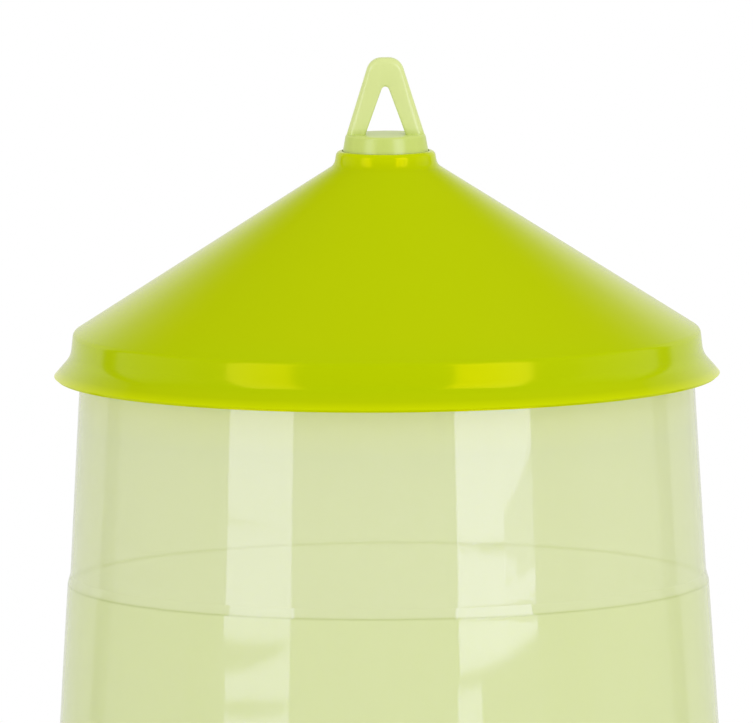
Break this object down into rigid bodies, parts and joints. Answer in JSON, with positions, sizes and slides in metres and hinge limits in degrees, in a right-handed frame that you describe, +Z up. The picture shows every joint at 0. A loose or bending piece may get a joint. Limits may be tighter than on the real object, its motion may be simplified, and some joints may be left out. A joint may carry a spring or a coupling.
{
  "type": "poultry waterer fount",
  "caption": "Hanging top-fill poultry drinker: cone lid on a turret with a hanging eye, tapered translucent tank, float valve and round twist-on drinking trough.",
  "frame": {"origin": "middle of the surface that the fount stands on", "axes": "+Z up along the fount's axis; the hanging eye's plate lies in the XZ plane and faces -Y and +Y; the float arm runs along +X"},
  "size_m": [0.396, 0.396, 0.4849],
  "materials": {
    "lime_plastic": "glossy moulded polypropylene, opaque lime green",
    "clear_plastic": "translucent pale green natural polypropylene, glossy with a slightly wavy wall",
    "seal_rubber": "matt black moulded rubber",
    "valve_plastic": "satin white acetal",
    "float_plastic": "satin closed hollow float, signal red",
    "brass_fitting": "turned brass",
    "spring_steel": "stainless spring steel, plain"
  },
  "bodies": {
    "pan": {"trough_pan": "lime_plastic"},
    "tank": {"reservoir": "clear_plastic", "tank_floor": "clear_plastic", "floor_gasket": "seal_rubber", "valve_body": "valve_plastic", "valve_nozzle": "brass_fitting", "valve_washer_lower": "seal_rubber", "valve_washer_upper": "seal_rubber", "valve_nut": "valve_plastic", "strainer": "valve_plastic", "lever_pin": "spring_steel", "pin_circlip": "spring_steel"},
    "lid": {"roof_lid": "lime_plastic"},
    "hanger": {"hanger": "clear_plastic", "hanger_clip": "spring_steel"},
    "float_arm": {"float_lever": "valve_plastic", "valve_pad": "seal_rubber", "float": "float_plastic", "float_insert": "brass_fitting", "float_screw": "spring_steel"}
  },
  "joints": [
    {"name": "bayonet_turn", "type": "hinge", "parent": "pan", "child": "tank", "pos_m": [0, 0, 0.0525], "axis": [0, 0, 1], "range_deg": [0, 20]},
    {"name": "lid_lift", "type": "slide", "parent": "tank", "child": "lid", "axis": [0, 0, 1], "range_m": [0, 0.15]},
    {"name": "hanger_swivel", "type": "hinge", "parent": "tank", "child": "hanger", "pos_m": [0, 0, 0.42299], "axis": [0, 0, 1], "continuous": true},
    {"name": "float_lift", "type": "hinge", "parent": "tank", "child": "float_arm", "pos_m": [-0.013, 0, 0.0392], "axis": [0, -1, 0], "range_deg": [0, 5]}
  ]
}
